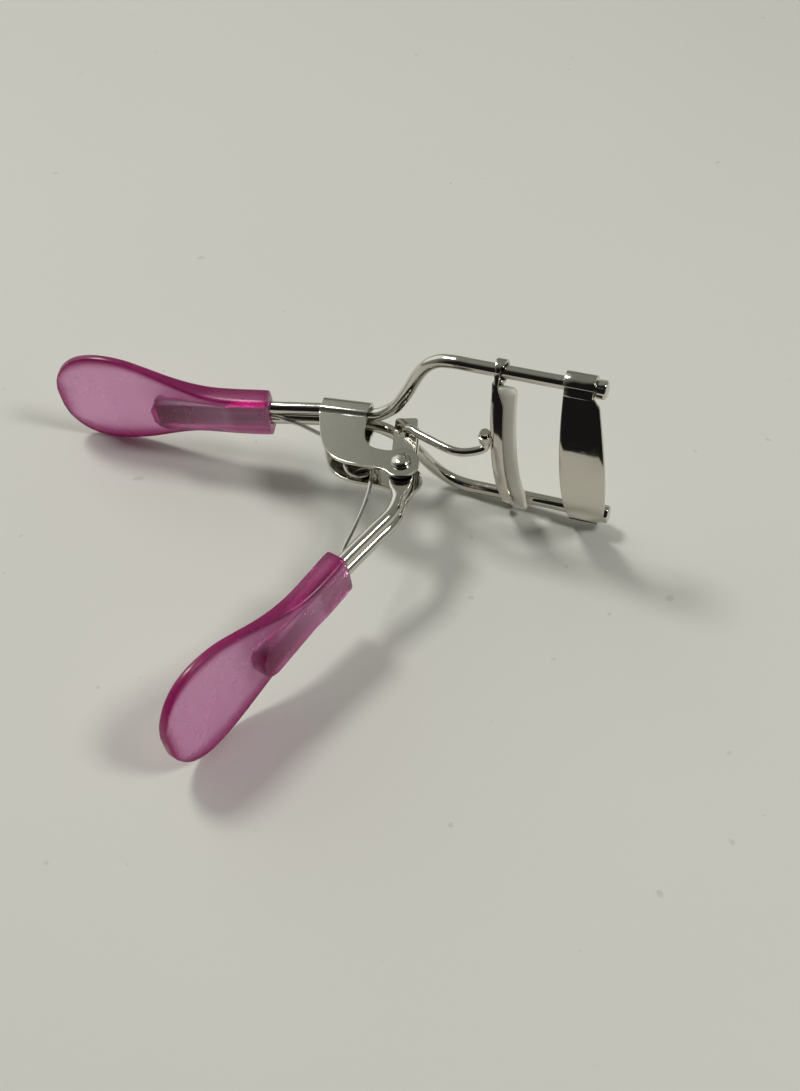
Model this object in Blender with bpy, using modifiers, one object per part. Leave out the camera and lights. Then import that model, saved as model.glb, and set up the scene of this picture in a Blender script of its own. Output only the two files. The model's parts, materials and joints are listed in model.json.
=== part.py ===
"""Eyelash curler with plastic finger grips, lying open on its side.

A bent wire frame carries two guide rods. A curved jaw with a soft pad slides
along them towards a fixed curved plate. A lever on a riveted pivot drives the
jaw through a wire link, and a light wire spring holds the handles apart.

Mechanism frame, before the whole object is laid down on its side:
origin on the lever pivot, +X along the guide rods towards the fixed plate,
+Y towards the guide rods, +Z along the pivot axis.
"""
import math

import bmesh
import bpy
from mathutils import Matrix, Vector

MM = 0.001

# How the curler lies: turns that bring its three low points onto the ground.
REST_TURN_X = math.radians(4.562)
REST_TURN_Y = math.radians(-5.462)

# Frame wire
WIRE_R = 1.22
LEG_Z = 1.35
GUIDE_Z = 17.0
GUIDE_Y = 13.0
GUIDE_END_X = 33.9
HANDLE_TURN = math.radians(12.0)
SLEEVE_LEFT = (-19.2, 9.46)
SLEEVE_RIGHT = (-10.0, 10.35)
GRIP_START = 10.3
WIRE_IN_GRIP = 21.6

# Bracket of folded sheet
SHEET = 0.8
CHEEK_OUT_Z = 3.0
EAR_R = 3.25
RIVET_R = 1.0

# Lever
LUG_DIR = (-0.270, 0.963)
LUG_END = 11.3
LUG_HALF_W = 2.1
LUG_Z = (0.72, 1.82)
LUG_HOLE_AT = 7.9
LUG_HOLE_R = 1.38
FLAT_TO = 6.2
LEVER_GRIP_AT = (-3.03, -23.27)
LEVER_TURN = math.radians(74.5)

# Link
LINK_R = 0.78
LINK_Z = 2.72
HOOK_AT = (-1.99, 8.11)
JAW_EYE = (13.2, 7.2)

# Jaw, pad and plate share one arc in the plane across the guide rods.
ARC_R = 36.5
ARC_MID_Y = 6.3
ARC_CENTRE_Y = ARC_MID_Y + ARC_R
JAW_X = (14.4, 16.9)
JAW_DEPTH = 3.4
JAW_END = math.radians(26.5)
EYE_X = (14.45, 16.4)
EYE_OUT_R = 2.3
EYE_IN_R = 1.43
PAD_X = (15.05, 18.9)
PLATE_X = 27.2
PLATE_MID_X = 35.4
PLATE_REACH = math.radians(28.2)
PLATE_END_X = 33.3
BARREL_X = (26.9, 32.4)
BARREL_OUT_R = 2.35
FERRULE_X = (32.6, 34.3)
FERRULE_R = 1.6

# Spring
SPRING_R = 0.38
COIL_AT = (-8.3, 0.0)
COIL_R = 2.8

# Grip stations: distance from the socket end, half width, front face, back face
GRIP_STATIONS = (
    (0.0, 4.2, 2.1, -2.1),
    (0.5, 4.5, 2.35, -2.4),
    (6.0, 4.55, 2.3, -2.45),
    (11.0, 4.8, 1.8, -2.5),
    (15.0, 5.6, 1.0, -2.6),
    (19.0, 7.0, 0.2, -2.75),
    (23.0, 8.7, -0.5, -3.05),
    (27.0, 10.2, -1.05, -3.45),
    (31.0, 11.0, -1.35, -3.75),
    (34.5, 11.0, -1.5, -3.9),
    (37.5, 10.1, -1.55, -3.95),
    (40.0, 8.2, -1.6, -3.9),
    (41.8, 5.4, -1.75, -3.8),
    (42.6, 2.8, -2.1, -3.5),
)
GRIP_SECTION = 24
SOCKET_HALF_W = 3.5
SOCKET_TO = 22.9
SOCKET_FRONT = 2.15
POCKET_HALF_W = 2.75
POCKET_HALF_T = 1.46

for old in list(bpy.data.objects):
    bpy.data.objects.remove(old, do_unlink=True)
part_set = bpy.data.collections.new("eyelash_curler")
tool_set = bpy.data.collections.new("cutters")
bpy.context.scene.collection.children.link(part_set)
bpy.context.scene.collection.children.link(tool_set)

rest = bpy.data.objects.new("rest_pose", None)
part_set.objects.link(rest)
rest.rotation_euler = (REST_TURN_X, REST_TURN_Y, 0.0)


def material(name, colour, roughness, metallic):
    """One plain surface."""
    made = bpy.data.materials.new(name)
    made.use_nodes = True
    shader = made.node_tree.nodes["Principled BSDF"]
    shader.inputs["Base Color"].default_value = (*colour, 1.0)
    shader.inputs["Roughness"].default_value = roughness
    shader.inputs["Metallic"].default_value = metallic
    made.diffuse_color = (*colour, 1.0)
    return made


def place(name, mesh, surface, pivot=(0.0, 0.0, 0.0), sharp=35.0):
    """A named part of the curler whose origin is at pivot."""
    mesh.transform(Matrix.Translation(-Vector(pivot)))
    mesh.transform(Matrix.Scale(MM, 4))
    mesh.materials.clear()
    mesh.materials.append(surface)
    mesh.shade_smooth()
    mesh.set_sharp_from_angle(angle=math.radians(sharp))
    part = bpy.data.objects.new(name, mesh)
    part_set.objects.link(part)
    part.parent = rest
    part.location = Vector(pivot) * MM
    return part


def tool(name, mesh, part):
    """A shape that adds to or cuts from a part, set in that part's own place."""
    mesh.transform(Matrix.Translation(-part.location / MM))
    mesh.transform(Matrix.Scale(MM, 4))
    made = bpy.data.objects.new(name, mesh)
    tool_set.objects.link(made)
    made.parent = rest
    made.location = part.location
    made.hide_render = True
    made.display_type = "WIRE"
    return made


def combine(part, name, mesh, operation):
    """Join a shape to a part or cut it away."""
    step = part.modifiers.new(name, "BOOLEAN")
    step.operation = operation
    step.solver = "EXACT"
    step.object = tool(name, mesh, part)
    return step


def prism(outline, start, end, axis="Z"):
    """A flat outline drawn out along one axis, from start to end."""
    turn = {
        "Z": lambda a, b, c: (a, b, c),
        "X": lambda a, b, c: (c, a, b),
    }[axis]
    build = bmesh.new()
    ring = [build.verts.new(turn(a, b, start)) for a, b in outline]
    face = build.faces.new(ring)
    grown = bmesh.ops.extrude_face_region(build, geom=[face])
    moved = [item for item in grown["geom"] if isinstance(item, bmesh.types.BMVert)]
    shift = Vector(turn(0.0, 0.0, end - start))
    bmesh.ops.translate(build, verts=moved, vec=shift)
    bmesh.ops.recalc_face_normals(build, faces=build.faces)
    mesh = bpy.data.meshes.new("prism")
    build.to_mesh(mesh)
    build.free()
    return mesh


def circle(centre, radius, count=32, start=0.0, end=2.0 * math.pi, close=True):
    """Points round a circle or along part of it."""
    steps = count if close else count - 1
    return [
        (
            centre[0] + radius * math.cos(start + (end - start) * i / steps),
            centre[1] + radius * math.sin(start + (end - start) * i / steps),
        )
        for i in range(count)
    ]


def cylinder(centre, radius, start, end, axis="Z", count=32):
    """A plain round bar."""
    return prism(circle(centre, radius, count), start, end, axis)


def tube(path, radius, sides=4):
    """A round wire along a path, closed at both ends."""
    data = bpy.data.curves.new("wire", "CURVE")
    data.dimensions = "3D"
    spline = data.splines.new("POLY")
    spline.points.add(len(path) - 1)
    for point, where in zip(spline.points, path):
        point.co = (*where, 1.0)
    data.bevel_depth = radius
    data.bevel_resolution = sides
    data.use_fill_caps = True
    holder = bpy.data.objects.new("wire", data)
    part_set.objects.link(holder)
    bpy.context.view_layer.update()
    seen = holder.evaluated_get(bpy.context.evaluated_depsgraph_get())
    mesh = bpy.data.meshes.new_from_object(seen)
    mesh.transform(holder.matrix_world)
    bpy.data.objects.remove(holder, do_unlink=True)
    build = bmesh.new()
    build.from_mesh(mesh)
    bmesh.ops.remove_doubles(build, verts=build.verts, dist=0.001)
    bmesh.ops.recalc_face_normals(build, faces=build.faces)
    build.to_mesh(mesh)
    build.free()
    return mesh


def flowing(points, steps=8):
    """A smooth path through the given points."""
    known = [Vector(p) for p in points]
    known = [known[0] * 2 - known[1]] + known + [known[-1] * 2 - known[-2]]
    path = []
    for i in range(1, len(known) - 2):
        a, b, c, d = known[i - 1], known[i], known[i + 1], known[i + 2]
        for k in range(steps):
            t = k / steps
            path.append(
                0.5 * (2 * b + (c - a) * t + (2 * a - 5 * b + 4 * c - d) * t ** 2
                       + (3 * b - a - 3 * c + d) * t ** 3)
            )
    path.append(known[-2])
    return path


def hairpin(centre, along, steps=8):
    """The half turn that joins two stacked legs, from the upper to the lower."""
    return [
        (
            centre[0] + along[0] * LEG_Z * math.sin(math.pi * k / steps),
            centre[1] + along[1] * LEG_Z * math.sin(math.pi * k / steps),
            LEG_Z * math.cos(math.pi * k / steps),
        )
        for k in range(1, steps)
    ]


def mirrored(path):
    """The same path below the middle plane, run the other way."""
    return [(p[0], p[1], -p[2]) for p in reversed(path)]


def arc_band(outer, inner, end, count=40):
    """Outline of a curved band across the guide rods, as (y, z) points."""
    far = [
        (ARC_CENTRE_Y - outer * math.cos(a), outer * math.sin(a))
        for a in (-end + 2 * end * i / (count - 1) for i in range(count))
    ]
    near = [
        (ARC_CENTRE_Y - inner * math.cos(a), inner * math.sin(a))
        for a in (end - 2 * end * i / (count - 1) for i in range(count))
    ]
    return far + near


plated = material("nickel_plate", (0.78, 0.77, 0.74), 0.14, 1.0)
plated_sheet = material("nickel_plate_sheet", (0.74, 0.73, 0.70), 0.18, 1.0)
spring_steel = material("spring_steel", (0.62, 0.61, 0.58), 0.22, 1.0)
pink = material("pink_plastic", (0.80, 0.16, 0.52), 0.28, 0.0)
silicone = material("white_silicone", (0.86, 0.86, 0.83), 0.55, 0.0)

# ---------------------------------------------------------------- frame wire
handle = (-math.cos(HANDLE_TURN), -math.sin(HANDLE_TURN))
wire_turn_at = (
    SLEEVE_LEFT[0] + handle[0] * (GRIP_START + WIRE_IN_GRIP - LEG_Z - WIRE_R),
    SLEEVE_LEFT[1] + handle[1] * (GRIP_START + WIRE_IN_GRIP - LEG_Z - WIRE_R),
)
upper_bend = flowing([
    (-11.2, 10.24, LEG_Z),
    (-8.7, 10.45, 1.75),
    (-6.6, 10.8, 2.95),
    (-4.5, 11.2, 4.9),
    (-2.3, 11.8, 8.5),
    (-0.3, 12.4, 12.3),
    (1.6, 12.8, 14.9),
    (4.0, 13.0, 16.5),
    (6.8, GUIDE_Y, GUIDE_Z),
    (9.5, GUIDE_Y, GUIDE_Z),
], 5)
upper_leg = (
    [(wire_turn_at[0], wire_turn_at[1], LEG_Z)]
    + flowing([
        (-22.0, 8.865, LEG_Z),
        (SLEEVE_LEFT[0], 9.42, LEG_Z),
        (-16.5, 9.76, LEG_Z),
    ], 4)
    + [tuple(p) for p in upper_bend]
    + [(GUIDE_END_X, GUIDE_Y, GUIDE_Z)]
)
frame_path = (
    [tuple(p) for p in reversed(upper_leg)]
    + hairpin(wire_turn_at, handle)
    + mirrored([tuple(p) for p in reversed(upper_leg)])
)
frame_wire = place("frame_wire", tube(frame_path, WIRE_R), plated)

# ------------------------------------------------------------------- bracket
sleeve_run = Vector((SLEEVE_RIGHT[0] - SLEEVE_LEFT[0], SLEEVE_RIGHT[1] - SLEEVE_LEFT[1]))
sleeve_turn = math.atan2(sleeve_run.y, sleeve_run.x)
outer_wall = [(-2.6, CHEEK_OUT_Z), (-2.0, CHEEK_OUT_Z), (-1.45, 3.42), (-0.9, 3.52), (0.3, 3.52)]
outer_wall += circle((0.3, 1.72), 1.8, 7, math.radians(80), math.radians(10), close=False)
inner_wall = [(-2.6, CHEEK_OUT_Z - SHEET), (-2.0, CHEEK_OUT_Z - SHEET), (-1.4, 2.66)]
inner_wall += [(-0.9, 2.72), (0.3, 2.72)]
inner_wall += circle((0.3, 1.62), 1.1, 7, math.radians(80), math.radians(10), close=False)
sleeve_outline = (
    outer_wall
    + [(y, -z) for y, z in reversed(outer_wall)]
    + [(y, -z) for y, z in inner_wall]
    + list(reversed(inner_wall))
)
sleeve = prism(sleeve_outline, 0.0, sleeve_run.length, "X")
sleeve.transform(
    Matrix.Translation((*SLEEVE_LEFT, 0.0)) @ Matrix.Rotation(sleeve_turn, 4, "Z")
)
cheek_outline = [
    (-19.0, 7.9), (-18.5, 6.3), (-17.7, 4.4), (-16.7, 2.4), (-15.6, 0.6), (-14.1, -0.95),
    (-12.2, -2.05), (-10.0, -2.55), (-7.6, -2.5), (-5.2, -2.35), (-3.6, -2.35),
]
cheek_outline += circle((0.0, 0.0), EAR_R, 23, math.radians(-128), math.radians(136), False)
cheek_outline += [
    (-3.3, 1.95), (-4.6, 1.85), (-5.8, 1.9), (-6.9, 2.2), (-7.8, 2.9), (-8.5, 3.9),
    (-9.05, 5.2), (-9.45, 6.6), (-9.75, 8.35),
]
bracket = place("bracket", sleeve, plated_sheet)
for side, name in ((1, "cheek_upper"), (-1, "cheek_lower")):
    low, high = sorted((side * (CHEEK_OUT_Z - SHEET), side * CHEEK_OUT_Z))
    combine(bracket, name, prism(cheek_outline, low, high), "UNION")
combine(bracket, "ear_holes", cylinder((0.0, 0.0), RIVET_R + 0.06, -5.0, 5.0), "DIFFERENCE")

# --------------------------------------------------------------- pivot rivet
rivet_profile = [
    (0.0, 3.95), (0.6, 3.9), (1.15, 3.72), (1.6, 3.42), (1.78, 3.16), (1.78, CHEEK_OUT_Z + 0.02),
    (RIVET_R, CHEEK_OUT_Z + 0.02), (RIVET_R, -CHEEK_OUT_Z - 0.02), (1.55, -CHEEK_OUT_Z - 0.02),
    (1.55, -3.3), (1.2, -3.52), (0.6, -3.62), (0.0, -3.64),
]
build = bmesh.new()
line = [build.verts.new((r, 0.0, z)) for r, z in rivet_profile]
edges = [build.edges.new(pair) for pair in zip(line, line[1:])]
bmesh.ops.spin(
    build, geom=line + edges, cent=(0, 0, 0), axis=(0, 0, 1), angle=2 * math.pi, steps=32,
    use_merge=True, use_duplicate=False,
)
bmesh.ops.remove_doubles(build, verts=build.verts, dist=0.0005)
bmesh.ops.recalc_face_normals(build, faces=build.faces)
rivet_mesh = bpy.data.meshes.new("rivet")
build.to_mesh(rivet_mesh)
build.free()
place("pivot_rivet", rivet_mesh, plated)

# --------------------------------------------------------------------- lever
lever_dir = (-math.cos(LEVER_TURN), -math.sin(LEVER_TURN))
down = Vector((-LUG_DIR[0], -LUG_DIR[1]))
lever_turn_at = (
    LEVER_GRIP_AT[0] + lever_dir[0] * (WIRE_IN_GRIP - LEG_Z - WIRE_R),
    LEVER_GRIP_AT[1] + lever_dir[1] * (WIRE_IN_GRIP - LEG_Z - WIRE_R),
)
leg_start = down * (FLAT_TO - 0.9)
lever_bend = flowing([
    (leg_start.x, leg_start.y, LEG_Z),
    (1.72, -7.0, LEG_Z),
    (1.86, -8.6, LEG_Z),
    (1.72, -10.2, LEG_Z),
    (1.2, -11.9, LEG_Z),
    (0.35, -14.0, LEG_Z),
    (-0.62, -16.6, LEG_Z),
    (-1.72, -19.5, LEG_Z),
    (LEVER_GRIP_AT[0], LEVER_GRIP_AT[1], LEG_Z),
    (-4.0, -26.77, LEG_Z),
], 4)
upper_lever = [tuple(p) for p in lever_bend] + [(lever_turn_at[0], lever_turn_at[1], LEG_Z)]
lever_path = upper_lever + hairpin(lever_turn_at, lever_dir) + mirrored(upper_lever)
lever_wire = place("lever_wire", tube(lever_path, WIRE_R), plated)
across = Vector((-LUG_DIR[1], LUG_DIR[0]))
along = Vector(LUG_DIR)
lug_sketch = [(-FLAT_TO, -1.25), (-FLAT_TO + 1.6, -1.55), (-3.4, -LUG_HALF_W)]
lug_sketch += [(LUG_END - 0.9, -LUG_HALF_W), (LUG_END - 0.26, -LUG_HALF_W + 0.26)]
lug_sketch += [(LUG_END, -LUG_HALF_W + 0.9)]
lug_sketch += [(a, -b) for a, b in reversed(lug_sketch)]
lug_outline = [tuple(along * a + across * b) for a, b in lug_sketch]
for side, name in ((1, "lug_upper"), (-1, "lug_lower")):
    low, high = sorted((side * LUG_Z[0], side * LUG_Z[1]))
    combine(lever_wire, name, prism(lug_outline, low, high), "UNION")
hole_at = along * LUG_HOLE_AT
combine(lever_wire, "lug_link_hole", cylinder(tuple(hole_at), LUG_HOLE_R, -5.0, 5.0), "DIFFERENCE")
combine(lever_wire, "lug_pivot_hole", cylinder((0.0, 0.0), RIVET_R + 0.12, -5.0, 5.0), "DIFFERENCE")

# ---------------------------------------------------------------------- link
link_path = flowing([
    (HOOK_AT[0], HOOK_AT[1], -2.3),
    (HOOK_AT[0], HOOK_AT[1], 0.0),
    (HOOK_AT[0] + 0.02, HOOK_AT[1], 1.75),
    (HOOK_AT[0] + 0.3, HOOK_AT[1] - 0.05, 2.48),
    (HOOK_AT[0] + 1.05, HOOK_AT[1] - 0.25, LINK_Z),
    (0.5, 7.2, LINK_Z),
    (3.4, 6.25, LINK_Z),
    (5.6, 5.55, LINK_Z),
    (7.6, 5.08, LINK_Z),
    (9.4, 5.0, LINK_Z),
    (11.0, 5.45, LINK_Z),
    (12.2, 6.2, LINK_Z + 0.02),
    (JAW_EYE[0] - 0.25, JAW_EYE[1] - 0.3, LINK_Z + 0.25),
    (JAW_EYE[0], JAW_EYE[1], LINK_Z + 1.1),
    (JAW_EYE[0], JAW_EYE[1], 5.4),
    (JAW_EYE[0], JAW_EYE[1], 7.9),
], 5)
place("link_wire", tube(link_path, LINK_R), plated, (JAW_EYE[0], JAW_EYE[1], 5.0))

# ---------------------------------------------------------------- jaw channel
jaw = place(
    "jaw_channel",
    prism(arc_band(ARC_R, ARC_R - JAW_DEPTH, JAW_END), JAW_X[0], JAW_X[1], "X"),
    plated_sheet,
    (JAW_X[0], GUIDE_Y, 0.0),
)
groove = arc_band(ARC_R - 0.6, ARC_R - JAW_DEPTH + 0.6, JAW_END + math.radians(3.0))
combine(jaw, "jaw_groove", prism(groove, JAW_X[0] + 0.6, JAW_X[1] + 1.0, "X"), "DIFFERENCE")
for side, name in ((1, "upper"), (-1, "lower")):
    tab = [
        (ARC_CENTRE_Y - ARC_R * math.cos(a), side * ARC_R * math.sin(a))
        for a in (math.radians(d) for d in (25.6, 26.4, 27.2, 28.2))
    ]
    tab += [
        (ARC_CENTRE_Y - (ARC_R - 1.3) * math.cos(a), side * (ARC_R - 1.3) * math.sin(a))
        for a in (math.radians(d) for d in (28.4, 27.2, 26.4, 25.6))
    ]
    combine(jaw, "tab_" + name, prism(tab, JAW_X[0], JAW_X[0] + 0.6, "X"), "UNION")
    ring_at = (GUIDE_Y, side * GUIDE_Z)
    combine(jaw, "eye_" + name, cylinder(ring_at, EYE_OUT_R, *EYE_X, "X", 40), "UNION")
combine(jaw, "link_eye", cylinder(JAW_EYE, 1.5, 3.95, 7.4), "UNION")
combine(jaw, "link_bore", cylinder(JAW_EYE, 0.98, 2.0, 9.0), "DIFFERENCE")
for side, name in ((1, "upper"), (-1, "lower")):
    bore = cylinder((GUIDE_Y, side * GUIDE_Z), EYE_IN_R, 10.0, 20.0, "X", 40)
    combine(jaw, "eye_bore_" + name, bore, "DIFFERENCE")

# ------------------------------------------------------------------- jaw pad
pad_mesh = prism(
    arc_band(ARC_R - 0.65, ARC_R - JAW_DEPTH + 0.65, JAW_END - math.radians(0.6)),
    PAD_X[0], PAD_X[1], "X",
)
pad = place("jaw_pad", pad_mesh, silicone, (JAW_X[0], GUIDE_Y, 0.0))
soften = pad.modifiers.new("soft_edges", "BEVEL")
soften.width = 0.45 * MM
soften.segments = 3
soften.limit_method = "ANGLE"
soften.angle_limit = math.radians(50)

# --------------------------------------------------------------- upper plate
build = bmesh.new()
rows = []
stations = 41
for i in range(stations):
    angle = -PLATE_REACH + 2 * PLATE_REACH * i / (stations - 1)
    share = abs(angle) / PLATE_REACH
    right = PLATE_MID_X - (PLATE_MID_X - PLATE_END_X) * share ** 2
    right -= (PLATE_END_X - BARREL_X[1]) * max(0.0, (share - 0.93) / 0.07)
    y = ARC_CENTRE_Y - ARC_R * math.cos(angle)
    z = ARC_R * math.sin(angle)
    rows.append([build.verts.new((x, y, z)) for x in (PLATE_X, right)])
for one, two in zip(rows, rows[1:]):
    build.faces.new((one[0], one[1], two[1], two[0]))
bmesh.ops.recalc_face_normals(build, faces=build.faces)
if sum(face.normal.y for face in build.faces) > 0:
    bmesh.ops.reverse_faces(build, faces=build.faces)
plate_mesh = bpy.data.meshes.new("plate")
build.to_mesh(plate_mesh)
build.free()
plate = place("upper_plate", plate_mesh, plated_sheet, (PLATE_X, GUIDE_Y, 0.0))
thick = plate.modifiers.new("sheet", "SOLIDIFY")
thick.thickness = SHEET * MM
thick.offset = -1.0
for side, name in ((1, "upper"), (-1, "lower")):
    ring = cylinder((GUIDE_Y, side * GUIDE_Z), BARREL_OUT_R, *BARREL_X, "X", 40)
    combine(plate, "barrel_" + name, ring, "UNION")
for side, name in ((1, "upper"), (-1, "lower")):
    bore = cylinder((GUIDE_Y, side * GUIDE_Z), WIRE_R + 0.05, 20.0, 40.0, "X", 40)
    combine(plate, "barrel_bore_" + name, bore, "DIFFERENCE")

# ------------------------------------------------------------------ ferrules
for side, name in ((1, "upper"), (-1, "lower")):
    spot = (GUIDE_Y, side * GUIDE_Z)
    cap = place(
        "ferrule_" + name, cylinder(spot, FERRULE_R, *FERRULE_X, "X"), plated,
        (FERRULE_X[0], GUIDE_Y, side * GUIDE_Z),
    )
    socket = cylinder(spot, WIRE_R + 0.03, FERRULE_X[0] - 1.0, GUIDE_END_X + 0.05, "X")
    combine(cap, "ferrule_bore_" + name, socket, "DIFFERENCE")


# --------------------------------------------------------------------- grips
def grip_mesh():
    """The moulded paddle: local x runs away from the socket, y is its front."""
    bm = bmesh.new()
    rings = []
    for x, half, front, back in GRIP_STATIONS:
        mid = 0.5 * (front + back)
        deep = 0.5 * (front - back)
        ring = []
        for k in range(GRIP_SECTION):
            a = 2 * math.pi * k / GRIP_SECTION
            c = math.copysign(abs(math.cos(a)) ** 0.35, math.cos(a))
            s = math.copysign(abs(math.sin(a)) ** 0.55, math.sin(a))
            z = half * c
            y = mid + deep * s
            if x > 20.0 and s > 0:
                y -= 0.35 * (1.0 - (z / half) ** 2) * min(1.0, (x - 20.0) / 8.0)
            ring.append(bm.verts.new((x, y, z)))
        rings.append(ring)
    for one, two in zip(rings, rings[1:]):
        for k in range(GRIP_SECTION):
            n = (k + 1) % GRIP_SECTION
            bm.faces.new((one[k], one[n], two[n], two[k]))
    bm.faces.new(rings[0])
    bm.faces.new(list(reversed(rings[-1])))
    bmesh.ops.recalc_face_normals(bm, faces=bm.faces)
    mesh = bpy.data.meshes.new("grip")
    bm.to_mesh(mesh)
    bm.free()
    return mesh


def obround(half_w, half_t, count=12):
    """Outline (y, z) of a slot with round ends, long in z."""
    reach_z = half_w - half_t
    top = circle((0.0, reach_z), half_t, count, 0.0, math.pi, close=False)
    low = circle((0.0, -reach_z), half_t, count, math.pi, 2 * math.pi, close=False)
    return top + low


def make_grip(name, socket_at, run, pivot):
    """A grip whose socket end is at socket_at and whose body follows run."""
    angle = math.atan2(run[1], run[0])
    where = Matrix.Translation((*socket_at, 0.0)) @ Matrix.Rotation(angle, 4, "Z")
    body = grip_mesh()
    body.transform(where)
    grip = place(name, body, pink, pivot, 40.0)
    box = prism([
        (-1.9, -SOCKET_HALF_W), (SOCKET_FRONT - 0.4, -SOCKET_HALF_W),
        (SOCKET_FRONT, -SOCKET_HALF_W + 0.4), (SOCKET_FRONT, SOCKET_HALF_W - 0.4),
        (SOCKET_FRONT - 0.4, SOCKET_HALF_W), (-1.9, SOCKET_HALF_W),
    ], 0.6, SOCKET_TO, "X")
    box.transform(where)
    combine(grip, name + "_socket", box, "UNION")
    pocket = prism(obround(POCKET_HALF_W, POCKET_HALF_T), -2.0, WIRE_IN_GRIP + 0.25, "X")
    pocket.transform(where)
    combine(grip, name + "_pocket", pocket, "DIFFERENCE")
    return grip


fixed_socket = (
    SLEEVE_LEFT[0] + handle[0] * GRIP_START,
    SLEEVE_LEFT[1] + handle[1] * GRIP_START,
)
make_grip("fixed_grip", fixed_socket, handle, (*fixed_socket, 0.0))
make_grip("moving_grip", LEVER_GRIP_AT, lever_dir, (0.0, 0.0, 0.0))

# -------------------------------------------------------------------- spring
inner_side = Vector((-handle[1], handle[0]))
first = Vector(fixed_socket) + Vector(handle) * 3.0 + inner_side * 1.03
near = Vector(fixed_socket) - Vector(handle) * 1.0 + inner_side * 1.05
spring_path = flowing([
    (first.x, first.y, 0.0),
    (near.x, near.y, 0.0),
    (-25.6, 6.25, -0.05),
    (-22.6, 5.95, -0.2),
    (-19.4, 5.2, -0.4),
    (-15.0, 4.1, -0.45),
    (-11.2, 3.2, -0.45),
], 5)
turns = 40
for k in range(turns + 1):
    a = math.radians(90.0) - math.radians(450.0) * k / turns
    spring_path.append(Vector((
        COIL_AT[0] + COIL_R * math.cos(a),
        COIL_AT[1] + COIL_R * math.sin(a),
        -0.45 + 0.9 * k / turns,
    )))
lever_side = Vector((lever_dir[1], -lever_dir[0]))
last = Vector(LEVER_GRIP_AT) + Vector(lever_dir) * 3.0 + lever_side * 1.03
entry = Vector(LEVER_GRIP_AT) - Vector(lever_dir) * 0.6 + lever_side * 1.06
spring_path += flowing([
    (-5.35, -1.4, 0.45),
    (-4.8, -3.6, 0.4),
    (-4.25, -6.6, 0.25),
    (-4.0, -10.2, 0.1),
    (-4.02, -14.5, 0.0),
    (-4.1, -18.5, 0.0),
    (entry.x, entry.y, 0.0),
    (last.x, last.y, 0.0),
], 4)
place("spring", tube(spring_path, SPRING_R, 2), spring_steel, (*COIL_AT, 0.0))

# -------------------------------------- set the lying curler on the ground
bpy.context.view_layer.update()
graph = bpy.context.evaluated_depsgraph_get()
corners = []
for part in part_set.objects:
    if part.type == "MESH":
        shape = part.evaluated_get(graph)
        corners += [shape.matrix_world @ v.co for v in shape.data.vertices]
low = [min(c[i] for c in corners) for i in range(3)]
high = [max(c[i] for c in corners) for i in range(3)]
rest.location = (-(low[0] + high[0]) / 2, -(low[1] + high[1]) / 2, -low[2])
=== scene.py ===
"""Eyelash curler with plated wire frame and translucent pink grips, lying open.

Sizes are in millimetres in the curler's own directions: x along the guide rods
towards the fixed plate, y across from the lever pivot to the rods, z along the
pivot. PLACE turns them into the lying curler, in metres.
"""
import json
import math
import bmesh
import bpy
from mathutils import Matrix, Vector


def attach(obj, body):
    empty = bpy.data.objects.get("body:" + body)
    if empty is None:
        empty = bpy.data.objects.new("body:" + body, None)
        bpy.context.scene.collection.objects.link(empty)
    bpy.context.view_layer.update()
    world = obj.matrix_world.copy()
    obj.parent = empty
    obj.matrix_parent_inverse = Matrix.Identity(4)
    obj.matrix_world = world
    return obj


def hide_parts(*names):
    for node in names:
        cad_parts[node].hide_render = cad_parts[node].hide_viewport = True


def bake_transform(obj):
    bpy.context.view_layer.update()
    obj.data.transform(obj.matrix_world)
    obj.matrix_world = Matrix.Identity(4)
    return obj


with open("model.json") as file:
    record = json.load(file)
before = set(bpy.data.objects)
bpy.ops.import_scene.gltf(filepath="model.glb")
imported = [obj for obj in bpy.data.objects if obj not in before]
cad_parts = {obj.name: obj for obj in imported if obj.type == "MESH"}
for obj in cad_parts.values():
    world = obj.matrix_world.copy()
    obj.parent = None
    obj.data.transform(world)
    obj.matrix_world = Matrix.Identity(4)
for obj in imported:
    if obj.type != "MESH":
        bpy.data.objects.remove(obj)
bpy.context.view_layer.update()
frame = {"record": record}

# ------------------------------------------------------------ how it lies
# The pivot and the slide of the frame give the curler's own directions, tipped
# a little because it rests on one jaw eye and on the rims of both grips.
joints = {joint["name"]: joint for joint in frame["record"]["behaviour"]["joints"]}
pivot = Vector(joints["lever_pivot"]["pos_m"])
along = Vector(joints["jaw_slide"]["axis"]).normalized()
upward = -Vector(joints["lever_pivot"]["axis"]).normalized()
turned = Matrix((along, upward.cross(along), upward)).transposed().to_4x4()
PLACE = Matrix.Translation(pivot) @ turned @ Matrix.Scale(0.001, 4)

# ----------------------------------------------------------------- camera
# A short telephoto above and in front of the table, at about the distance and
# height of someone who looks down at the curler.
CAMERA_AT = (0.08163, -0.14596, 0.21679)
CAMERA_VIEW = Vector((-0.225053, 0.592932, -0.773164))
CAMERA_LENS = 67.58
bpy.ops.object.camera_add(location=CAMERA_AT)
camera = bpy.context.object
camera.rotation_euler = CAMERA_VIEW.to_track_quat("-Z", "Y").to_euler()
camera.data.sensor_fit = "HORIZONTAL"
camera.data.sensor_width = 36.0
camera.data.lens = CAMERA_LENS
camera.data.clip_start = 0.01
bpy.context.scene.camera = camera
bpy.context.scene.view_settings.view_transform = "Standard"
bpy.context.scene.view_settings.look = "None"

# ------------------------------------------------------- table and lights
# A pale warm table top with faint marks. Two broad lamps overhead, to the left
# and to the right, and a dim room with a dark side where the viewer stands.
TABLE_SIZE = 3.0
TABLE_CENTRE = (-0.479, 1.262, -0.0003)
TABLE_TURN = math.radians(20.8)
LAMP_REACH = 0.75


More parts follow.
